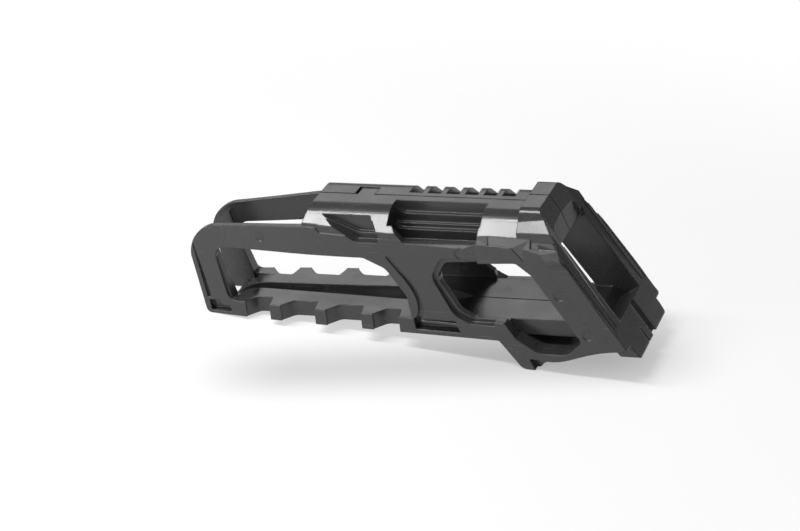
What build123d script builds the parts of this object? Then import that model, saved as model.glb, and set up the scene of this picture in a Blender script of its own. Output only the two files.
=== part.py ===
from build123d import *
import os
from math import cos, radians, sin, tan

os.makedirs("parts", exist_ok=True)

# All sizes in millimetres. X runs from the rear tip to the front flange, Y across the chain
# with the seam of the two halves at Y = 0, and Z up from the running face of the pads.

# Whole guide
REAR_X = 1.0
PAD_TOP = 0.0
PAD_THICK = 7.0
ROOF_Z = 45.5
LUG_DROP = 19.0

# Half width of the outside at stations along the guide, near the top and at the pads
STATION_X = (0, 30, 57, 100, 150, 205)
TOP_HALF = (12.0, 14.5, 18.5, 21.2, 22.9, 24.8)
LOW_HALF = (14.0, 17.5, 19.6, 21.9, 24.4, 26.8)
TOP_LEVEL = 38.0
LOW_LEVEL = -8.0
WALL = (2.4, 2.4, 2.8, 4.6, 4.8, 4.8)

# Open window between the rear fork arms, and the window of the front
WINDOW_TOP = 25.4
FRONT_WINDOW_TOP = 27.4

# Notches in the outer edge of each pad
TOOTH = 5.4
TOOTH_PITCH = 21.6
FIRST_TOOTH_X = 39.4
TOOTH_COUNT = 3
NOTCH_START = 25.0
NOTCH_END = 97.3
NOTCH_SWEEP = 4.4
NOTCH_SLANT = 1.0
NOTCH_DEPTH = 6.2
SWEEP_ROUND = 3.6
NOTCH_ROUND = 1.0

# Slot between the two pads, and their rounded rear ends
SLOT_HALF_REAR = 1.6
SLOT_HALF_FRONT = 6.2
SLOT_END_X = 124.0
RAMP_HALF = 10.4
RAMP_RADIUS = 28.0
RAMP_X = 29.0

# Roof of the box
BOX_REAR_X = 60.0
BOX_FRONT_X = 158.0
BOX_LEAN = 18.0
ROOF_FLAT = 7.5
CREASE_Y = 15.2
CREASE_Z = 42.5
FACET_FALL = 0.78
ROOF_THICK = 3.0
SHOULDER_Y = 11.8

# Front flange, leaning back
FLANGE_LEAN = 32.4
FLANGE_X = 160.5
FLANGE_Z = 48.2
FLANGE_THICK = 6.8
COLLAR_LENGTH = 8.3
COLLAR_Z = 38.5
SILL_THICK = 3.6
CHAIN_HALF = 15.6
CHAIN_TOP = 33.9
CHAIN_FLOOR = 0.6
JAMB_GROOVE = 0.9
JAMB_GROOVE_DEPTH = 0.7
SCOOP_RISE = 8.4
SCOOP_DEPTH = 2.2

# Front pads standing free of the side wall over the cradle of the lug
PAD_EDGE = 17.0
CRADLE_Y = 9.0

# Parting line of the halves
SEAM_GAP = 0.16
SEAM_DEPTH = 0.6

# Step round the front window, pocket of the lug and interlock of the lower bar
RIM_DEPTH = 1.8
LUG_POCKET = 3.0
LIP_Z = -7.4
LIP_BOTTOM = -13.1
LIP_SLOT = 1.0
LOCK_Y = 5.8
LOCK_WIDTH = 4.4
SILL_CUT_Z = -1.7

# Ribs of the inboard roof
RIB_COUNT = 6
RIB_PITCH = 8.1
RIB_GAP = 4.5
RIB_FIRST_X = 99.0
RIB_INNER_Y = 3.3
RIB_DEPTH = 8.2
RIB_CHAMFER = 2.4

# Key of the outboard half in the notch of the inboard half
KEY_X = 77.2
KEY_LENGTH = 7.5
KEY_REACH = 5.5
KEY_PLAY = 1.5
KEY_THICK = 2.4

# Soft groove down the web
WEB_GROOVE = 2.4
WEB_GROOVE_DEPTH = 1.2

# Shallow round marks of the ejector pins
PIN_RADIUS = 2.3
PIN_DEPTH = 0.25

GUIDE_MID_X = 100.25
BIG = 60.0


def at(values, x):
    """Value at x between the stations."""
    for i in range(len(STATION_X) - 1):
        if x <= STATION_X[i + 1]:
            share = (x - STATION_X[i]) / (STATION_X[i + 1] - STATION_X[i])
            return values[i] + share * (values[i + 1] - values[i])
    return values[-1]


def half_width(x, z):
    """Half width of the outside of the guide at a place along it and a height."""
    share = (z - LOW_LEVEL) / (TOP_LEVEL - LOW_LEVEL)
    return at(LOW_HALF, x) + share * (at(TOP_HALF, x) - at(LOW_HALF, x))


def rounded(corners):
    """Flat face from corners (u, v, radius)."""
    face = make_face(Polyline(*[(u, v) for u, v, r in corners], close=True))
    for u, v, r in corners:
        if r:
            corner = face.vertices().sort_by_distance(Vector(u, v))[0]
            face = fillet(corner, r)
    return face


def side_cut(corners, y_near=BIG, y_far=0.0):
    """Block with the outline seen from the side, between two distances from the seam."""
    sketch = Plane.XZ.offset(y_far) * rounded(corners)
    return extrude(sketch, amount=y_near - y_far)


def plan_face(z, inset):
    """Plan of the half guide at a height, set in by a share of the wall thickness."""
    edge = []
    for i, x in enumerate(STATION_X):
        edge.append((x, -(half_width(x, z) - inset * WALL[i])))
    start = (STATION_X[0], 0)
    end = (STATION_X[-1], 0)
    lines = Line(start, edge[0]) + Spline(*edge) + Line(edge[-1], end) + Line(end, start)
    return Plane.XY.offset(z) * make_face(lines)


def plan_solid(inset):
    """Outside of the half guide, or its inside when set in by the wall."""
    return loft([plan_face(-BIG / 2, inset), plan_face(BIG, inset)], ruled=True)


def side_outline():
    """Outline of the side wall from the side, with the fork arm, the lug and the front."""
    nose = ThreePointArc((REAR_X, 19.5), (4.6, 28.9), (13.9, 34.2))
    top = Polyline((13.9, 34.2), (57, 38.2), (64, 38.2), (66, 36), (150, 34), (194.5, -7.6))
    belly = Spline((194.5, -7.6), (185, -8.7), (176, -11.3), (168, -14.0), (161, -14.6))
    lug = Polyline((161, -14.6), (157.4, -LUG_DROP), (150.6, -LUG_DROP), (141.2, -PAD_THICK),
                   (5.2, -PAD_THICK), (REAR_X, 19.5))
    face = make_face(nose + top + belly + lug)
    for u, v, r in ((161, -14.6, 1.5), (157.4, -LUG_DROP, 2.0), (150.6, -LUG_DROP, 4.5),
                    (141.2, -PAD_THICK, 1.5), (5.2, -PAD_THICK, 2.5)):
        face = fillet(face.vertices().sort_by_distance(Vector(u, v))[0], r)
    return face


def rear_window():
    """Opening of the rear fork arm, down to the pad."""
    return side_cut([
        (12.2, WINDOW_TOP - 1.0, 5), (84.5, WINDOW_TOP + 0.8, 5), (94.0, WINDOW_TOP - 3.4, 6),
        (102.2, 10.0, 3), (103.4, 0.0, 0), (17.0, 0.0, 4)])


def front_window(y_far):
    """Opening of the front from a distance off the seam, its lower corner open over the lug."""
    return side_cut([
        (116.3, 19.2, 4), (120.4, FRONT_WINDOW_TOP - 1.4, 3), (151.5, FRONT_WINDOW_TOP + 0.9, 3),
        (158.0, 23.2, 4), (177.0, -4.9, 2.5), (170.0, -11.2, 7), (158.0, -11.4, 8),
        (148.6, -5.6, 1), (144.3, 1.0, 0), (130.5, 1.2, 5), (124.5, 4.4, 8)], BIG, y_far)


def jamb(plan):
    """Thick jamb between the front window and the face, as wide inside as the chain window."""
    return plan & side_cut([
        (155, CHAIN_TOP, 0), (155, 20, 0), (174, -PAD_THICK, 0), (197, -PAD_THICK, 0),
        (171, CHAIN_TOP, 0)], BIG, CHAIN_HALF)


def cradle(plan):
    """Saddle of the lug, carried inward under the pad."""
    lug = extrude(Plane.XZ.offset(CRADLE_Y) * side_outline(), amount=BIG)
    below = Pos(160, -BIG / 2, -PAD_THICK) * Box(
        38.0, BIG, BIG, align=(Align.CENTER, Align.CENTER, Align.MAX))
    return (plan & lug & below) - front_window(0)


def pad(plan):
    """Thick running pad of the half, with a slot along the seam and a rounded rear end."""
    block = plan & Pos(100, 0, PAD_TOP - PAD_THICK / 2) * Box(193.0, BIG, PAD_THICK)
    slot = rounded([
        (0, 0, 0), (0, -SLOT_HALF_REAR, 0), (SLOT_END_X - 14, -SLOT_HALF_FRONT, 6),
        (SLOT_END_X, 0, 0)])
    block -= extrude(Plane.XY.offset(PAD_TOP - PAD_THICK - 1) * slot, amount=PAD_THICK + 2)
    ramp_far = Pos(0, 0, PAD_TOP - PAD_THICK - 1) * Box(
        RAMP_X, RAMP_HALF, PAD_THICK + 2, align=(Align.MIN, Align.MAX, Align.MIN))
    ramp_round = Pos(RAMP_X, 0, PAD_TOP - RAMP_RADIUS) * Cylinder(
        RAMP_RADIUS, BIG, rotation=(90, 0, 0))
    return (block & extrude(Plane.XZ * side_outline(), amount=BIG)) - (ramp_far - ramp_round)


def notches():
    """Cutters of the notches with slanting sides along the outer edge of the pad."""
    spans = [(NOTCH_START, FIRST_TOOTH_X - TOOTH / 2)]
    for i in range(TOOTH_COUNT):
        left = FIRST_TOOTH_X + i * TOOTH_PITCH + TOOTH / 2
        spans.append((left, min(left + TOOTH_PITCH - TOOTH, NOTCH_END)))
    cutters = []
    for left, right in spans:
        floor = half_width((left + right) / 2, PAD_TOP) - NOTCH_DEPTH
        notch = rounded([
            (left, -BIG, 0), (left, -floor - NOTCH_DEPTH + 1, 0),
            (left + NOTCH_SWEEP, -floor, SWEEP_ROUND), (right - NOTCH_SLANT, -floor, NOTCH_ROUND),
            (right, -floor - NOTCH_DEPTH + 1, 0), (right, -BIG, 0)])
        base = Plane.XY.offset(PAD_TOP - PAD_THICK - 1) * notch
        cutters.append(extrude(base, amount=PAD_THICK + 1.2))
    return cutters


def roof_section(x):
    """Closed section of the roof shell of the half at a place along the guide."""
    side = half_width(x, TOP_LEVEL)
    drop = (side - CREASE_Y) * FACET_FALL
    low = CREASE_Z - drop
    inner_side = side - at(WALL, x)
    top = Line((0, ROOF_Z), (-ROOF_FLAT, ROOF_Z))
    roll = TangentArc((-ROOF_FLAT, ROOF_Z), (-CREASE_Y, CREASE_Z), tangent=(-1, 0))
    rest = Polyline(
        (-CREASE_Y, CREASE_Z), (-side, low), (-side, low - 8), (-inner_side, low - 8),
        (-inner_side, low - 1), (-CREASE_Y + 2, CREASE_Z - ROOF_THICK),
        (-ROOF_FLAT + 1, ROOF_Z - ROOF_THICK), (0, ROOF_Z - ROOF_THICK), (0, ROOF_Z))
    return Plane.YZ.offset(x) * make_face(top + roll + rest)


def roof_block(x, bottom):
    """Closed section of the filled roof of the half, down to a level."""
    side = half_width(x, TOP_LEVEL)
    low = CREASE_Z - (side - CREASE_Y) * FACET_FALL
    top = Line((0, ROOF_Z), (-ROOF_FLAT, ROOF_Z))
    roll = TangentArc((-ROOF_FLAT, ROOF_Z), (-CREASE_Y, CREASE_Z), tangent=(-1, 0))
    rest = Polyline(
        (-CREASE_Y, CREASE_Z), (-side, low), (-side, bottom), (0, bottom), (0, ROOF_Z))
    return Plane.YZ.offset(x) * make_face(top + roll + rest)


def roof():
    """Roof shell of the half with its leaning rear edge."""
    shell = loft([roof_section(BOX_REAR_X - 4), roof_section(BOX_FRONT_X)], ruled=True)
    shoulder = loft([roof_block(65.0, 31.0), roof_block(98.0, 31.0)], ruled=True)
    shell += shoulder & side_cut(
        [(64, 30, 0), (64, 50, 0), (98, 50, 0), (98, 30, 0)], BIG, SHOULDER_Y)
    lean = tan(radians(BOX_LEAN))
    rear = side_cut([
        (BOX_REAR_X + 10 * lean, ROOF_Z + 10, 0), (BOX_REAR_X - 25 * lean, ROOF_Z - 25, 0),
        (BOX_REAR_X - 40, ROOF_Z - 25, 0), (BOX_REAR_X - 40, ROOF_Z + 10, 0)])
    return shell - rear


def face_plane():
    """Plane of the front face, its v axis running up the slope."""
    lean = radians(FLANGE_LEAN)
    return Plane(origin=(FLANGE_X, 0, FLANGE_Z), x_dir=(0, 1, 0), z_dir=(cos(lean), 0, sin(lean)))


def down(z):
    """Distance down the front face to a height."""
    return -(FLANGE_Z - z) / cos(radians(FLANGE_LEAN))


def flange():
    """Collar round the front of the box and the leaning frame under it."""
    outline = rounded([
        (0, FLANGE_Z, 0), (-13.5, FLANGE_Z, 4.5), (-21.6, 38.6, 2), (-25.4, 27.0, 30),
        (-26.5, 6.0, 60), (-25.8, LIP_Z, 0.8), (-21.6, LIP_Z, 0.8), (-20.4, LIP_BOTTOM, 1.2),
        (0, LIP_BOTTOM, 0)])
    lean = tan(radians(FLANGE_LEAN))
    thick = FLANGE_THICK / cos(radians(FLANGE_LEAN))
    collar_x = FLANGE_X - COLLAR_LENGTH
    foot = FLANGE_X + (FLANGE_Z + LUG_DROP) * lean
    profile = side_cut([
        (collar_x, FLANGE_Z + 1, 0), (collar_x, COLLAR_Z, 5),
        (FLANGE_X + (FLANGE_Z - COLLAR_Z) * lean - thick, COLLAR_Z, 0),
        (foot - thick, -LUG_DROP, 0), (foot + 5, -LUG_DROP, 0), (FLANGE_X + 5, FLANGE_Z + 1, 0)])
    head = extrude(Plane.YZ.offset(collar_x - 5) * outline, amount=BIG) & profile
    thin = face_plane() * (Pos(0, down(CHAIN_TOP) - 2, -SILL_THICK) * Box(
        2 * CHAIN_HALF, 2 * BIG, BIG, align=(Align.CENTER, Align.MAX, Align.MAX)))
    return head - thin


def chain_window():
    """Cutter of the chain window of the front frame."""
    height = down(CHAIN_TOP) - down(CHAIN_FLOOR)
    return face_plane() * (Pos(0, down(CHAIN_TOP), 0) * Box(
        2 * CHAIN_HALF, height, 20, align=(Align.CENTER, Align.MAX, Align.CENTER)))


def jamb_grooves():
    """Two fine grooves down the front jamb beside the chain window."""
    cutters = []
    for y, top, bottom in ((24.2, 36.0, 0.5), (21.0, 37.0, 1.0)):
        length = down(top) - down(bottom)
        groove = Pos(-y, down(top), 0) * Box(
            JAMB_GROOVE, length, 2 * JAMB_GROOVE_DEPTH, align=(Align.CENTER, Align.MAX, Align.CENTER))
        cutters.append(face_plane() * groove)
    return cutters


def scoop():
    """Shallow lead-in over the chain window, sunk deepest at its lower edge."""
    outline = rounded([
        (0, SCOOP_RISE, 0), (-12.0, SCOOP_RISE - 1, 3), (-17.8, SCOOP_RISE / 2, 3), (-16.0, -1, 0),
        (0, -1, 0)])
    base = face_plane() * Pos(0, down(CHAIN_TOP), 0)
    wedge = Plane.YZ * make_face(Polyline(
        (SCOOP_RISE, 0), (SCOOP_RISE, 1), (-1, 1), (-1, -SCOOP_DEPTH), close=True))
    wedge = extrude(wedge, amount=BIG, both=True)
    return base * (extrude(outline, amount=4, both=True) & wedge)


def seam_line():
    """Fine step along the parting line of the roof, the collar and the front face."""
    collar = Pos(FLANGE_X, 0, FLANGE_Z - SEAM_DEPTH) * Box(
        BIG, SEAM_GAP, BIG, align=(Align.CENTER, Align.MAX, Align.MIN))
    body = Pos(BOX_REAR_X - 8, 0, ROOF_Z - SEAM_DEPTH) * Box(
        FLANGE_X - COLLAR_LENGTH - BOX_REAR_X + 8, SEAM_GAP, BIG,
        align=(Align.MIN, Align.MAX, Align.MIN))
    face = face_plane() * Pos(0, 0, -SEAM_DEPTH) * Box(
        SEAM_GAP, 3 * BIG, BIG, align=(Align.MAX, Align.CENTER, Align.MIN))
    return [body, collar, face]


def rear_pocket():
    """Two steps sunk into the shoulder of the box behind the large pocket."""
    deep = side_cut([
        (66.5, CREASE_Z + 0.1, 0), (88.0, CREASE_Z + 0.1, 1), (91.0, 36.0, 0), (83.0, 36.0, 5)],
        BIG, CREASE_Y - 0.6)
    wide = side_cut([
        (66.5, CREASE_Z + 0.1, 0), (88.0, CREASE_Z + 0.1, 1), (92.6, 37.0, 2), (92.4, 33.2, 1),
        (82.0, 33.2, 4)], BIG, CREASE_Y + 1.4)
    return [deep, wide]


TERRACES = ((4.3, 40.6, 5.0), (6.4, 37.0, 1.0), (8.0, 35.2, 4.0), (10.2, 31.0, 1.0))


def large_pocket():
    """Terraces stepping down from the roof, then the opening over the side wall."""
    cutters = []
    for depth, floor, corner in TERRACES:
        cutters.append(side_cut([
            (96.0, ROOF_Z + 2, 0), (96.0, floor, corner), (136.0, floor, 0),
            (136.0, ROOF_Z + 2, 0)], 18.0, depth))
    cutters.append(side_cut([
        (95.4, ROOF_Z + 2, 0), (95.8, 43.0, 1), (103.4, 33.8, 2), (135.2, 34.3, 1.5),
        (136.0, ROOF_Z + 2, 0)], BIG, 17.8))
    return cutters


def web_groove():
    """Soft groove that runs down the web from the rear window to the rail slot."""
    line = [(96.0, 27.5), (101.5, 20.0), (106.6, 12.0), (108.0, 5.5), (106.4, 0.0)]
    left = Spline(*[(x - WEB_GROOVE / 2, z) for x, z in line])
    right = Spline(*[(x + WEB_GROOVE / 2, z) for x, z in line])
    edges = left + Line(left @ 1, right @ 1) + right + Line(right @ 0, left @ 0)
    depth = half_width(104, 10) - WEB_GROOVE_DEPTH
    return extrude(Plane.XZ.offset(depth) * make_face(edges), amount=BIG)


def rail_slot():
    """Blind slot in the lower rail with a fine groove over it."""
    depth = half_width(115, -3) - 4.2
    slot = side_cut([
        (104.0, 0.4, 1), (107.0, 0.4, 0), (107.6, -1.6, 0), (123.2, -1.8, 2), (124.9, -5.1, 0.6),
        (104.6, -5.0, 0.6)], BIG, depth)
    groove = side_cut([(106.5, 0.5, 0), (122.6, 0.3, 0), (123.6, -0.8, 0), (106.5, -0.6, 0)],
                      BIG, depth + 3.0)
    return [slot, groove]


def fork_groove():
    """Blind pocket at the foot of the fork arm and the groove up its rear edge."""
    foot = side_cut([
        (7.0, -0.7, 0), (12.3, -0.5, 0), (13.6, -2.7, 1), (17.0, -2.9, 0.8), (18.0, -5.5, 0.6),
        (7.6, -5.7, 0.5)], BIG, half_width(12, -3) - 2.6)
    groove = side_cut([(2.4, 25.0, 0), (3.2, 24.6, 0), (8.6, 0.4, 0), (6.3, 0.4, 0)],
                      BIG, half_width(5, 10) - 1.4)
    return [foot, groove]


def window_rim():
    """Step round the lower rear corner of the front window."""
    return side_cut([
        (114.2, 19.6, 5), (119.2, 28.4, 3), (135, 28.6, 0), (140, -0.6, 0), (129.6, -0.6, 5),
        (122.6, 2.8, 8)], BIG, half_width(120, 10) - RIM_DEPTH)


def lug_pocket():
    """Small open pocket in the front corner of the lug."""
    return side_cut([
        (153.6, -14.2, 0.4), (158.6, -14.2, 0.4), (160.6, -15.6, 0), (158.8, -20, 0),
        (156.4, -20, 0)], BIG, half_width(156, -16) - LUG_POCKET)


def lip_slot(y, low, high, width):
    """Slot down the lower bar of the front face."""
    return face_plane() * (Pos(-y, down(high), 0) * Box(
        width, down(high) - down(low), 2 * LIP_SLOT, align=(Align.CENTER, Align.MAX, Align.CENTER)))


def pin_marks():
    """Shallow round marks on the side wall."""
    cutters = []
    for x, z in ((168.8, 15.5), (179.7, -1.3), (36.6, 31.5), (128.0, 31.0)):
        y = half_width(x, z) - PIN_DEPTH
        cutters.append(extrude(Plane.XZ.offset(y) * (Pos(x, z) * Circle(PIN_RADIUS)), amount=5))
    return cutters


def half():
    """What the two halves share, built on the outboard side of the seam."""
    plan = plan_solid(0)
    hollow = plan_solid(1)
    front = face_plane() * Box(BIG * 3, BIG * 3, BIG, align=(Align.CENTER, Align.CENTER, Align.MIN))
    wall = (plan - hollow) & extrude(Plane.XZ * side_outline(), amount=BIG)
    wall -= rear_window()
    body = wall + pad(plan) + jamb(plan) + cradle(plan)
    body -= front_window(PAD_EDGE)
    for cutter in notches():
        body -= cutter
    body += roof() + flange()
    body -= front
    body -= chain_window()
    for cutter in fork_groove() + rear_pocket() + rail_slot() + pin_marks() + seam_line():
        body -= cutter
    for cutter in jamb_grooves() + [scoop(), web_groove(), window_rim(), lug_pocket()]:
        body -= cutter
    return body - lip_slot(21.6, LIP_BOTTOM + 1.3, LIP_Z, JAMB_GROOVE)


def outboard(body):
    """Outboard half: the large terraced pocket and the key across the seam."""
    block = loft([roof_block(94.0, 29.0), roof_block(140.0, 29.0)], ruled=True)
    body += block
    for cutter in large_pocket():
        body -= cutter
    body -= lip_slot(LOCK_Y, LIP_BOTTOM - 1, LIP_Z, JAMB_GROOVE)
    key = Pos(KEY_X, KEY_REACH, ROOF_Z) * Box(
        KEY_LENGTH, KEY_REACH + 4, KEY_THICK, align=(Align.MIN, Align.MAX, Align.MAX))
    return body + key


def inboard(body):
    """Inboard half: the row of ribs in the roof and the notch for the key."""
    block = loft([roof_block(96.0, 34.5), roof_block(150.0, 34.5)], ruled=True)
    body += block
    body -= lip_slot(0, LIP_BOTTOM - 1, CHAIN_FLOOR + 1, LOCK_WIDTH * 2)
    body -= side_cut([
        (126.5, 4.5, 0), (127.5, 0.2, 1.5), (131, SILL_CUT_Z, 1), (150, SILL_CUT_Z, 0),
        (150, 4.5, 0)], BIG, PAD_EDGE + 0.6)
    body = mirror(body, about=Plane.XZ)
    for i in range(RIB_COUNT):
        x = RIB_FIRST_X + i * RIB_PITCH
        gap = Plane.XZ.offset(-RIB_INNER_Y) * make_face(Polyline(
            (x, ROOF_Z - RIB_DEPTH), (x, ROOF_Z + 2), (x + RIB_GAP + RIB_CHAMFER, ROOF_Z + 2),
            (x + RIB_GAP + RIB_CHAMFER / 2, ROOF_Z), (x + RIB_GAP - RIB_CHAMFER / 2, ROOF_Z - RIB_CHAMFER),
            (x + RIB_GAP - RIB_CHAMFER / 2, ROOF_Z - RIB_DEPTH), close=True))
        body -= extrude(gap, amount=-BIG)
    notch = Pos(KEY_X - KEY_PLAY, 0, ROOF_Z + 1) * Box(
        KEY_LENGTH + KEY_PLAY, KEY_REACH + KEY_PLAY, ROOF_THICK + 2,
        align=(Align.MIN, Align.MIN, Align.MAX))
    return body - notch


shared = half()
halves = {"outboard_half": outboard(shared), "inboard_half": inboard(shared)}
place = Pos(-GUIDE_MID_X, 0, LUG_DROP)
for name, solid in halves.items():
    solid = place * solid
    box = solid.bounding_box()
    print(name, "solids", len(solid.solids()), "size", box.size, "min", box.min, "volume", solid.volume)
    export_step(solid, f"parts/{name}.step")
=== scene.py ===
# %% [markdown]
# A chain guide in satin black plastic
#
# The guide hugs the chain under a motorcycle swingarm. It is moulded in two halves that meet on
# the centre plane. The CAD solids give every main form. This script carves a few small ones,
# gives the plastic its grain and wear, and sets up a small studio round the guide.

# %% Load the frame
import math

import bmesh
import bpy
from mathutils import Matrix, Vector


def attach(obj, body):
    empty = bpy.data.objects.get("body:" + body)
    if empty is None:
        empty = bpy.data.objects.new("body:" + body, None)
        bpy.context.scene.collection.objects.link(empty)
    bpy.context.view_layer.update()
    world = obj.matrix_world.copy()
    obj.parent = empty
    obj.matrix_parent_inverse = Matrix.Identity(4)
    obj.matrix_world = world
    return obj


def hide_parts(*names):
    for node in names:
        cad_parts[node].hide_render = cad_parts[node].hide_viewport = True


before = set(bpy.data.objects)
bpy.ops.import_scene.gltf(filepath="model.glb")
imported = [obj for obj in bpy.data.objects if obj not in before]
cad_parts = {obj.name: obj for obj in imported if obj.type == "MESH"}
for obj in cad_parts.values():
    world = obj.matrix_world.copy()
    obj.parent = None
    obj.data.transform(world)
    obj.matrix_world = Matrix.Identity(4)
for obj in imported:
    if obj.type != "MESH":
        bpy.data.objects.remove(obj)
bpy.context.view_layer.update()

# %% [markdown]
# The camera
#
# A long lens keeps the two long edges of the guide nearly parallel, as in a product picture.
# The picture shows the guide a little nose up. Turning the camera is easier than turning the
# guide, which stays in its own frame, so the camera is given by axes of its own.

# %% Camera
CAMERA_PLACE = (0.3152, -0.7493, 0.4234)
CAMERA_RIGHT = (0.9327, 0.3403, -0.1198)
CAMERA_FORWARD = (-0.3576, 0.8276, -0.4326)

camera_data = bpy.data.cameras.new("studio_camera")
camera_data.sensor_width = 36.0
camera_data.lens = 96.75
camera_data.clip_start = 0.05
camera_data.clip_end = 20.0
camera = bpy.data.objects.new("studio_camera", camera_data)
bpy.context.scene.collection.objects.link(camera)
right = Vector(CAMERA_RIGHT).normalized()
forward = Vector(CAMERA_FORWARD).normalized()
turn = Matrix((right, right.cross(forward), -forward)).transposed()
camera.matrix_world = Matrix.Translation(CAMERA_PLACE) @ turn.to_4x4()
bpy.context.scene.camera = camera
print("camera looks along", [round(v, 3) for v in forward])

# %% [markdown]
# Places on the guide
#
# The small forms below are placed as a toolmaker would read them off a drawing: x forward from
# the rear, y out from the seam and z up from the top of the pads, all in millimetres. The walls
# lean in towards the roof and the plan widens towards the front. One table of half widths says
# where the wall is, so that no block needs a slanted outline of its own.

# %% Places and walls, in millimetres
MID_X = 100.25          # from the rear to the middle of the guide, where the frame has x = 0
LUG_DROP = 19.0         # from the foot of the lug, where the frame has z = 0, up to the pads
STATION = (0, 30, 57, 100, 150, 205)
TOP_HALF = (12.0, 14.5, 18.5, 21.2, 22.9, 24.8)
LOW_HALF = (14.0, 17.5, 19.6, 21.9, 24.4, 26.8)
TOP_LEVEL = 38.0
LOW_LEVEL = -8.0


def spot(x, y, z):
    """Point in the frame, in metres, from millimetres on the guide."""
    return Vector((x - MID_X, y, z + LUG_DROP)) / 1000


def read_back(vert):
    """Distance along the guide and height of a vertex, in millimetres."""
    return vert.co.x * 1000 + MID_X, vert.co.z * 1000 - LUG_DROP


def wall_at(x, z):
    """Half width of the guide at a place along it and a height."""
    i = max(n for n in range(len(STATION) - 1) if STATION[n] <= x)
    share = (x - STATION[i]) / (STATION[i + 1] - STATION[i])
    top = TOP_HALF[i] + share * (TOP_HALF[i + 1] - TOP_HALF[i])
    low = LOW_HALF[i] + share * (LOW_HALF[i + 1] - LOW_HALF[i])
    return low + (z - LOW_LEVEL) / (TOP_LEVEL - LOW_LEVEL) * (top - low)


print("wall at the roof, mid length:", round(wall_at(MID_X, TOP_LEVEL), 1), "mm from the seam")

# %% [markdown]
# Blocks
#
# Each form starts as a small closed block. A side block is an outline pushed out sideways, for
# what is seen in the side plate. A front block runs forward to the leaning front face, for what
# closes against it. A convex hull over a few corners makes such a slanted block in one step.

# %% Block makers
FACE_X, FACE_Z = 160.5, 48.2                    # top edge of the leaning front face
FACE_SLOPE = math.tan(math.radians(32.4))
FLARE_X, FLARE = 158, 0.04                      # the front widens from here, by this slope


def as_object(name, mesh_in_work):
    """Object in the scene from a mesh in work."""
    bmesh.ops.recalc_face_normals(mesh_in_work, faces=mesh_in_work.faces)
    mesh = bpy.data.meshes.new(name)
    mesh_in_work.to_mesh(mesh)
    mesh_in_work.free()
    made = bpy.data.objects.new(name, mesh)
    bpy.context.scene.collection.objects.link(made)
    return made


def side_block(corners, side, inner, outer):
    """Block with a side outline (x, z), from inner to outer off the seam.

    An outer distance below zero is counted from the leaning wall instead.
    """
    work = bmesh.new()
    ring = [work.verts.new(spot(x, side * inner, z)) for x, z in corners]
    grown = bmesh.ops.extrude_face_region(work, geom=[work.faces.new(ring)])
    far = [v for v in grown["geom"] if isinstance(v, bmesh.types.BMVert)]
    for vert in far:
        x, z = read_back(vert)
        vert.co.y = side * (outer if outer > 0 else wall_at(x, z) + outer) / 1000
    return as_object("side_block", work)


def front_block(corners, side, short):
    """Block from corners (x, y, z) forward, ending a little short of the front face."""
    work = bmesh.new()
    for x, y, z in corners:
        for end in (x, FACE_X + (FACE_Z - z) * FACE_SLOPE - short):
            work.verts.new(spot(end, side * (y + (end - FLARE_X) * FLARE), z))
    bmesh.ops.convex_hull(work, input=work.verts)
    return as_object("front_block", work)


print("the front face moves back", round(FACE_SLOPE, 2), "mm for each mm up")

# %% [markdown]
# The small forms
#
# Three forms are added and two cut. The rear post of the fork arm is thicker than the plate
# beside it. The cheek closes the corner between the roof and the collar, and the collar's
# shoulder carries the line of the roof on. The foot of the fork arm has a shallow pocket, and
# the edge of the jamb inside the front window is set back, so that a slit of light shows
# through the chain window.

# %% Outlines of the forms
POST = [(5.4, -3.0), (2.4, 19), (4.8, 26.6), (11.0, 30.5), (12.2, 24.0), (18.2, 1.0),
        (18.4, -3.0)]
CHEEK = [(150, 15.7, 41.6), (150, 22.6, 36.3), (152, 15.7, 30.0), (152, 22.9, 30.0),
         (164, 15.7, 25.0), (164, 23.1, 25.0)]
COLLAR = [(152.2, 14.0, 46.5), (152.2, 17.1, 43.6), (152.2, 23.2, 38.85), (152.2, 22.8, 35.5),
          (152.2, 14.0, 35.5)]
FOOT = [(7.0, -0.7), (12.3, -0.5), (13.6, -2.7), (17.0, -2.9), (18.0, -5.5), (7.6, -5.7)]
JAMB = [(146, 28.6), (151.0, 28.2), (156.4, 23.2), (171.7, 0.6), (146, 0.6)]
print("forms on each half:", len((POST, CHEEK, COLLAR, FOOT, JAMB)))

# %% [markdown]
# Joining and cutting
#
# An exact boolean joins a block to the half or cuts it away. It is applied at once, so each half
# ends as a plain mesh. The CAD mesh is loose triangles, and a boolean needs a closed skin, so a
# copy has its doubled corners merged first. Afterwards the faces that lie in one plane are
# joined again, which keeps large flat faces flat in their shading too.

# %% Mesh helpers
MERGE = 0.000002                                # metres between corners that are one
FLAT_ANGLE = math.radians(0.5)


def merged_copy(mesh):
    """Mesh in work, copied with its doubled corners merged."""
    work = bmesh.new()
    work.from_mesh(mesh)
    bmesh.ops.remove_doubles(work, verts=work.verts, dist=MERGE)
    return work


def flattened(work):
    """Joins neighbouring faces that lie in one plane."""
    bmesh.ops.dissolve_limit(
        work, angle_limit=FLAT_ANGLE, verts=work.verts, edges=work.edges)


def shaped(half, tool, operation):
    """Joins a block to the half, or cuts it away."""
    step = half.modifiers.new("shape", "BOOLEAN")
    step.operation = operation
    step.solver = "EXACT"
    step.object = tool
    bpy.context.view_layer.update()
    graph = bpy.context.evaluated_depsgraph_get()
    mesh = bpy.data.meshes.new_from_object(half.evaluated_get(graph))
    half.modifiers.clear()
    half.data = mesh
    bpy.data.objects.remove(tool)


print("corners within", MERGE * 1000, "mm are one")

# %% [markdown]
# Roof shoulder
#
# Below the crease of the roof a flat shoulder falls towards the wall. Towards the front its foot
# sits higher, and the shoulder is narrower. Its points slide in and up along its own slope, so
# the shoulder stays flat. The move grows slowly along the guide and ends before the front face.

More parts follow.
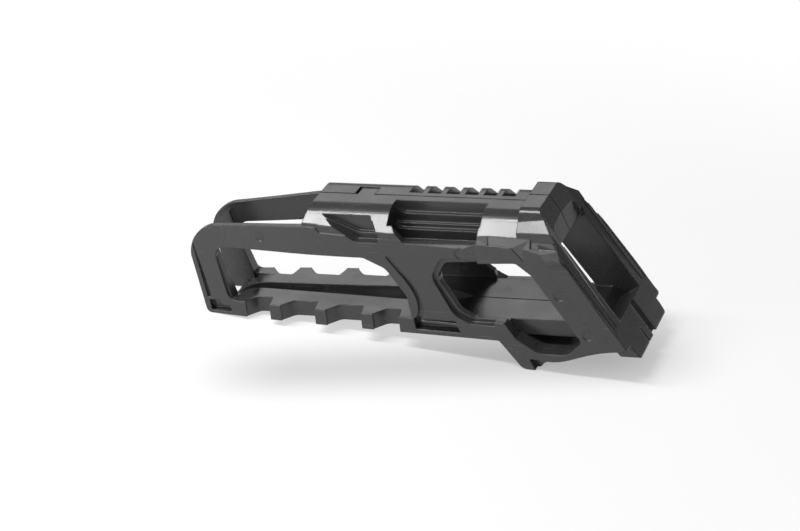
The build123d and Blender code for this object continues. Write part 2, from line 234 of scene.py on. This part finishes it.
# %% Easing of the shoulder
CREASE_Y = 15.2
SHOULDER_Z = 33.0
SHOULDER_FALL = 0.78
SHOULDER_EASE = 0.3                             # share of the way in to the crease
EASE_STARTS, EASE_FULL = 95.0, 140.0
EASE_ENDS, EASE_GONE = 168.0, 176.0
EASE_RISE = 3.0


def part_way(value, start, end):
    """Share of the way from start to end, kept between 0 and 1."""
    return min(1.0, max(0.0, (value - start) / (end - start)))


def eased(work, side):
    """Slides the foot of the roof shoulder in and up towards the front."""
    for vert in work.verts:
        x, z = read_back(vert)
        out = abs(vert.co.y) * 1000 - CREASE_Y
        if out <= 0 or z <= SHOULDER_Z:
            continue
        along = part_way(x, EASE_STARTS, EASE_FULL) * part_way(x, EASE_GONE, EASE_ENDS)
        pull = SHOULDER_EASE * out * along * part_way(z, SHOULDER_Z, SHOULDER_Z + EASE_RISE)
        vert.co.y -= side * pull / 1000
        vert.co.z += SHOULDER_FALL * pull / 1000


print("the shoulder is eased from", EASE_STARTS, "to", EASE_GONE, "mm along the guide")

# %% [markdown]
# The finished halves
#
# Both halves get the same forms, mirrored. A face with many corners may bend when its points
# move, so such faces are cut to triangles before the shoulder is eased. The finished copy then
# stands for the CAD half. Its faces are shaded flat, and the softened edges of the plastic round
# them off.

# %% Finish each half
finished = {}
for name, side in (("outboard_half", -1), ("inboard_half", 1)):
    half = as_object(name + "_finished", merged_copy(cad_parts[name].data))
    shaped(half, side_block(POST, side, inner=9.0, outer=-1.2), "UNION")
    shaped(half, front_block(CHEEK, side, short=1.2), "UNION")
    shaped(half, front_block(COLLAR, side, short=0.03), "UNION")
    shaped(half, side_block(FOOT, side, inner=12.4, outer=20.0), "DIFFERENCE")
    shaped(half, side_block(JAMB, side, inner=14.0, outer=17.25), "DIFFERENCE")
    work = merged_copy(half.data)
    flattened(work)
    bmesh.ops.triangulate(work, faces=[face for face in work.faces if len(face.verts) > 4])
    eased(work, side)
    flattened(work)
    open_edges = sum(1 for edge in work.edges if len(edge.link_faces) != 2)
    work.to_mesh(half.data)
    work.free()
    half.data.shade_flat()
    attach(half, "root")
    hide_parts(name)
    finished[name] = half
    print(name, len(half.data.polygons), "faces,", open_edges, "open edges")

# %% [markdown]
# Shader nodes by short calls
#
# A finish is a small web of nodes, and most of them only add, mix or stretch a value. A helper
# makes such a node and links it in one line, so that the recipe of a finish stays easy to read.
# Each helper takes a tree, which may be a material's own or a group's.


# %% Groups, sums and noise
def new_group(name, inputs, outputs):
    """Shader group with named sockets, and its two end nodes."""
    group = bpy.data.node_groups.new(name, "ShaderNodeTree")
    for label, kind, value in inputs:
        socket = group.interface.new_socket(label, in_out="INPUT", socket_type=kind)
        if value is not None:
            socket.default_value = value
    for label, kind in outputs:
        group.interface.new_socket(label, in_out="OUTPUT", socket_type=kind)
    return group, group.nodes.new("NodeGroupInput"), group.nodes.new("NodeGroupOutput")


def maths(tree, operation, first, second=None):
    """Math node fed by sockets or plain numbers."""
    node = tree.nodes.new("ShaderNodeMath")
    node.operation = operation
    for slot, value in enumerate((first, second)):
        if value is None:
            continue
        if isinstance(value, (int, float)):
            node.inputs[slot].default_value = value
        else:
            tree.links.new(value, node.inputs[slot])
    return node.outputs[0]


def noise(tree, vector, scale, detail=2.0):
    """Noise texture read at a vector, with a scale from a socket or a number."""
    node = tree.nodes.new("ShaderNodeTexNoise")
    node.inputs["Detail"].default_value = detail
    if isinstance(scale, (int, float)):
        node.inputs["Scale"].default_value = scale
    else:
        tree.links.new(scale, node.inputs["Scale"])
    tree.links.new(vector, node.inputs["Vector"])
    return node.outputs["Fac"]


# %% [markdown]
# Grain of the mould
#
# The steel of the mould is textured, and the plastic copies it as a fine even grain. Real dents
# in the mesh would need millions of faces. A bump from a noise texture costs little, and one
# node group with named sockets can serve every finish that needs it. A second, much wider noise
# makes the gloss uneven, as where plastic cooled faster in one place than in another.

# %% Mould grain
GRAINS_PER_METRE = 2600.0
CLOUDS_PER_METRE = 60.0

grain, grain_in, grain_out = new_group(
    "mould_grain",
    [("Place", "NodeSocketVector", None),
     ("Grains per metre", "NodeSocketFloat", GRAINS_PER_METRE),
     ("Depth", "NodeSocketFloat", 1.0)],
    [("Height", "NodeSocketFloat"), ("Dullness", "NodeSocketFloat")])
fine = noise(grain, grain_in.outputs["Place"], grain_in.outputs["Grains per metre"])
wide = noise(grain, grain_in.outputs["Place"], CLOUDS_PER_METRE, detail=4.0)
height = maths(grain, "MULTIPLY", fine, grain_in.outputs["Depth"])
dull = maths(grain, "ADD", maths(grain, "MULTIPLY", wide, 0.7),
             maths(grain, "MULTIPLY", fine, 0.3))
grain.links.new(height, grain_out.inputs["Height"])
grain.links.new(dull, grain_out.inputs["Dullness"])
print("grain size", round(1000 / GRAINS_PER_METRE, 2), "mm")

# %% [markdown]
# Scuffs
#
# Handling leaves thin bright hairlines, all short and mostly along the part. Noise that is
# stretched along one axis and cut off near its peak gives just that. A wide second noise keeps
# them in patches, because an even spread would read as a pattern.

# %% Scuffs
SCUFFS_PER_METRE = (60.0, 900.0, 1400.0)        # along the guide, across it and upward
SCUFF_TURN = (0.3, 0.25, 0.15)
PATCHES_PER_METRE = 45.0


def stretched(tree, value, start, end, low=0.0, high=1.0, smooth=False):
    """Value between start and end, brought to between low and high."""
    node = tree.nodes.new("ShaderNodeMapRange")
    if smooth:
        node.interpolation_type = "SMOOTHSTEP"
    limits = {"From Min": start, "From Max": end, "To Min": low, "To Max": high}
    for label, limit in limits.items():
        node.inputs[label].default_value = limit
    tree.links.new(value, node.inputs["Value"])
    return node.outputs["Result"]


scuffs, scuffs_in, scuffs_out = new_group(
    "fine_scuffs",
    [("Place", "NodeSocketVector", None), ("Amount", "NodeSocketFloat", 0.5)],
    [("Mask", "NodeSocketFloat")])
stretch = scuffs.nodes.new("ShaderNodeMapping")
stretch.inputs["Scale"].default_value = SCUFFS_PER_METRE
stretch.inputs["Rotation"].default_value = SCUFF_TURN
scuffs.links.new(scuffs_in.outputs["Place"], stretch.inputs["Vector"])
lines = noise(scuffs, stretch.outputs["Vector"], 1.0, detail=1.0)
patches = noise(scuffs, scuffs_in.outputs["Place"], PATCHES_PER_METRE, detail=1.0)
peaks = stretched(scuffs, lines, 0.66, 0.74)
where = stretched(scuffs, patches, 0.5, 0.65)
mask = maths(scuffs, "MULTIPLY", maths(scuffs, "MULTIPLY", peaks, where),
             scuffs_in.outputs["Amount"])
scuffs.links.new(mask, scuffs_out.inputs["Mask"])
print("scuffs about", [round(1000 / scale, 1) for scale in SCUFFS_PER_METRE], "mm")

# %% [markdown]
# Parting line
#
# Where the halves meet, a hair of shade runs along the seam. It is a mask on the distance from
# the centre plane, and it stops where the key of the outboard half crosses over.

# %% Parting line
KEY_MIDDLE = -0.0193
KEY_HALF = 0.0038
KEY_LEVEL = 0.0600                              # below this the line runs on

parting, parting_in, parting_out = new_group(
    "parting_shade",
    [("Place", "NodeSocketVector", None), ("Half width", "NodeSocketFloat", 0.00028)],
    [("Mask", "NodeSocketFloat")])
axes = parting.nodes.new("ShaderNodeSeparateXYZ")
parting.links.new(parting_in.outputs["Place"], axes.inputs[0])
near_seam = maths(parting, "LESS_THAN", maths(parting, "ABSOLUTE", axes.outputs["Y"]),
                  parting_in.outputs["Half width"])
from_key = maths(parting, "ABSOLUTE",
                 maths(parting, "SUBTRACT", axes.outputs["X"], KEY_MIDDLE))
off_key = maths(parting, "GREATER_THAN", from_key, KEY_HALF)
below = maths(parting, "LESS_THAN", axes.outputs["Z"], KEY_LEVEL)
line = maths(parting, "MULTIPLY", near_seam, maths(parting, "MAXIMUM", off_key, below))
parting.links.new(line, parting_out.inputs["Mask"])
print("the line stops for", round(2000 * KEY_HALF, 1), "mm at the key")

# %% [markdown]
# The plastic itself
#
# Black polyamide is never quite black and never a mirror. A dark base colour with a roughness
# near 0.24 shows the lamps as soft bands. The Bevel node rounds the normals near each edge, so
# the edges catch light as moulded edges do, without a single extra face.

# %% Satin black plastic
BLACK = (0.033, 0.033, 0.034)
SEAM_SHADE = (0.002, 0.002, 0.002)
ROUGHNESS = 0.24
EDGE_RADIUS = 0.0007


def placed(tree, group, place):
    """Node that uses a group, fed with the place on the piece."""
    node = tree.nodes.new("ShaderNodeGroup")
    node.node_tree = group
    tree.links.new(place, node.inputs["Place"])
    return node


def blended(tree, mask, first, second):
    """Colour between two, by a mask. Each is a fixed colour or a socket."""
    node = tree.nodes.new("ShaderNodeMix")
    node.data_type = "RGBA"
    tree.links.new(mask, node.inputs["Factor"])
    for label, colour in (("A", first), ("B", second)):
        if isinstance(colour, tuple):
            node.inputs[label].default_value = (*colour, 1.0)
        else:
            tree.links.new(colour, node.inputs[label])
    return node.outputs["Result"]


def satin_black(name):
    """Moulded black plastic with grain, scuffs, painted seam shade and softened edges."""
    material = bpy.data.materials.new(name)
    material.use_nodes = True
    tree = material.node_tree
    shader = tree.nodes["Principled BSDF"]
    shader.inputs["Specular IOR Level"].default_value = 0.62
    place = tree.nodes.new("ShaderNodeTexCoord").outputs["Object"]
    skin = placed(tree, grain, place)
    marks = placed(tree, scuffs, place)
    seam = placed(tree, parting, place)

    scuffed = tuple(min(1.0, channel * 3.0 + 0.02) for channel in BLACK)
    colour = blended(tree, marks.outputs["Mask"], BLACK, scuffed)
    # painted shade: a near-black hairline along the seam, where the halves meet
    lined = blended(tree, seam.outputs["Mask"], colour, SEAM_SHADE)
    tree.links.new(lined, shader.inputs["Base Color"])

    gloss = stretched(tree, skin.outputs["Dullness"], 0.3, 0.7,
                      ROUGHNESS - 0.05, ROUGHNESS + 0.06)
    dulled = maths(tree, "MAXIMUM", gloss, seam.outputs["Mask"])
    tree.links.new(dulled, shader.inputs["Roughness"])

    soft = tree.nodes.new("ShaderNodeBevel")
    soft.samples = 6
    soft.inputs["Radius"].default_value = EDGE_RADIUS
    bump = tree.nodes.new("ShaderNodeBump")
    bump.inputs["Strength"].default_value = 0.25
    bump.inputs["Distance"].default_value = 0.00006
    tree.links.new(skin.outputs["Height"], bump.inputs["Height"])
    tree.links.new(soft.outputs["Normal"], bump.inputs["Normal"])
    tree.links.new(bump.outputs["Normal"], shader.inputs["Normal"])
    return material


plastic = satin_black("satin_black")
for name, half in finished.items():
    half.data.materials.clear()
    half.data.materials.append(plastic)
    print(name, "dressed in", plastic.name)

# %% [markdown]
# Floor
#
# The guide stands on its lugs and on the rear ends of the pads. It keeps its place in the frame,
# so the floor leans instead, by the few degrees that these points give. A large disc is enough,
# because its rim fades out into a white surround.

# %% Floor
LUG_X, TAIL_X, TAIL_Z = 0.0520, -0.0932, 0.0120
FLOOR_RADIUS = 1.2
FLOOR_GAP = 0.00001

slope = math.atan2(TAIL_Z, LUG_X - TAIL_X)
disc = bmesh.new()
bmesh.ops.create_circle(disc, cap_ends=True, segments=64, radius=FLOOR_RADIUS)
lean = Matrix.Translation((LUG_X, 0, -FLOOR_GAP)) @ Matrix.Rotation(slope, 4, "Y")
bmesh.ops.transform(disc, matrix=lean, verts=disc.verts)
floor_mesh = bpy.data.meshes.new("floor")
disc.to_mesh(floor_mesh)
disc.free()
floor = bpy.data.objects.new("floor", floor_mesh)
bpy.context.scene.collection.objects.link(floor)
print("floor leans", round(math.degrees(slope), 1), "degrees")

# %% [markdown]
# Shade on the paper
#
# A dark flank takes light from the paper in front of it, more than the lamps alone would show.
# Moving a lamp for it would change the bands on the plastic too. So the paper is darkened a
# little by a mask, which falls off along the guide and across it.

# %% Shade on the paper
SHADE_MIDDLE = (0.019, -0.030, 0.0)
SHADE_DEPTH = 0.30
SHADE_FALLOFFS = (                              # direction, full up to here, gone from here
    ((0.939, 0.343, 0), 0.060, 0.118),
    ((-0.343, 0.939, 0), 0.0, 0.032))


def vector_maths(tree, operation, vector, fixed=None):
    """Vector Math node on a vector and a fixed one."""
    node = tree.nodes.new("ShaderNodeVectorMath")
    node.operation = operation
    tree.links.new(vector, node.inputs[0])
    if fixed is not None:
        node.inputs[1].default_value = fixed
    return node


paper = bpy.data.materials.new("white_paper")
paper.use_nodes = True
tree = paper.node_tree
place = tree.nodes.new("ShaderNodeTexCoord").outputs["Object"]
offset = vector_maths(tree, "SUBTRACT", place, SHADE_MIDDLE).outputs["Vector"]
shade = 1.0
for direction, full, gone in SHADE_FALLOFFS:
    reach = vector_maths(tree, "DOT_PRODUCT", offset, direction).outputs["Value"]
    falloff = stretched(tree, maths(tree, "ABSOLUTE", reach), full, gone, 1.0, 0.0, smooth=True)
    shade = maths(tree, "MULTIPLY", falloff, shade)
left = maths(tree, "SUBTRACT", 1.0, maths(tree, "MULTIPLY", shade, SHADE_DEPTH))
print("the shade takes", round(100 * SHADE_DEPTH), "percent of the paper's light")

# %% [markdown]
# White paper
#
# The camera sees the paper partly lit by the lamps and partly by its own faint glow, so that it
# comes out white while the shadow stays soft. All other rays see plain white paper, which throws
# the right light back up. The rim is transparent to the camera alone.

# %% White paper
PAPER = (0.9, 0.9, 0.9)
LIT_SHARE = 0.42
GLOW_SHARE = 0.58
FADE_START, FADE_END = 0.14, 0.36

shader = tree.nodes["Principled BSDF"]
shader.inputs["Emission Color"].default_value = (1, 1, 1, 1)
shader.inputs["Roughness"].default_value = 0.9
shader.inputs["Specular IOR Level"].default_value = 0.0
seen = tree.nodes.new("ShaderNodeLightPath").outputs["Is Camera Ray"]
grey = tree.nodes.new("ShaderNodeCombineColor")
for channel in ("Red", "Green", "Blue"):
    tree.links.new(maths(tree, "MULTIPLY", left, LIT_SHARE), grey.inputs[channel])
tree.links.new(blended(tree, seen, PAPER, grey.outputs["Color"]), shader.inputs["Base Color"])
glow = maths(tree, "MULTIPLY", seen, maths(tree, "MULTIPLY", left, GLOW_SHARE))
tree.links.new(glow, shader.inputs["Emission Strength"])

from_middle = vector_maths(tree, "LENGTH", place).outputs["Value"]
fade = stretched(tree, from_middle, FADE_START, FADE_END, 1.0, 0.0, smooth=True)
cover = maths(tree, "MAXIMUM", fade, maths(tree, "SUBTRACT", 1.0, seen))
tree.links.new(cover, shader.inputs["Alpha"])
floor.data.materials.append(paper)
print("paper fades from", FADE_START, "to", FADE_END, "m")

# %% [markdown]
# Light
#
# Black plastic shows its surroundings more than its own colour. A long narrow lamp over the near
# shoulder draws the bright band along it, a broad one behind lights up the roof, and a low one
# in front lifts the side walls. Each has its long side along the guide.

# %% Lamps
MIDDLE = (0, 0, 0.03)


def lamp(name, place, target, size, power):
    """Soft lamp at a place, aimed at a target, its long side along the guide."""
    data = bpy.data.lights.new(name, "AREA")
    data.shape = "RECTANGLE"
    data.size, data.size_y = size
    data.energy = power
    made = bpy.data.objects.new(name, data)
    bpy.context.scene.collection.objects.link(made)
    back = -(Vector(target) - Vector(place)).normalized()
    along = Vector((1, 0, 0))
    wide = (along - along.dot(back) * back).normalized()
    turn = Matrix((wide, back.cross(wide), back)).transposed()
    made.matrix_world = Matrix.Translation(place) @ turn.to_4x4()
    print(name, power, "W")


lamp("shoulder_strip", (-0.33, -0.21, 0.91), MIDDLE, (0.8, 0.13), 8.5)
lamp("roof_softbox", (-0.62, 1.2, 0.72), MIDDLE, (1.1, 0.28), 1.7)
lamp("front_fill", (-0.60, -0.85, 0.32), (-0.05, 0, 0.03), (0.8, 0.4), 3.8)

# %% [markdown]
# Surround
#
# The camera sees plain white behind the paper. The same white all round would wash the black
# out, so every other ray meets a much dimmer surround.

# %% Surround
DIM, WHITE = 0.22, 1.0

world = bpy.data.worlds.new("surround")
bpy.context.scene.world = world
world.use_nodes = True
tree = world.node_tree
background = tree.nodes["Background"]
background.inputs["Color"].default_value = (1, 1, 1, 1)
seen = tree.nodes.new("ShaderNodeLightPath").outputs["Is Camera Ray"]
power = stretched(tree, seen, 0.0, 1.0, DIM, WHITE)
tree.links.new(power, background.inputs["Strength"])
bpy.context.scene.view_settings.view_transform = "Standard"
print("surround", DIM, "and white to the camera")
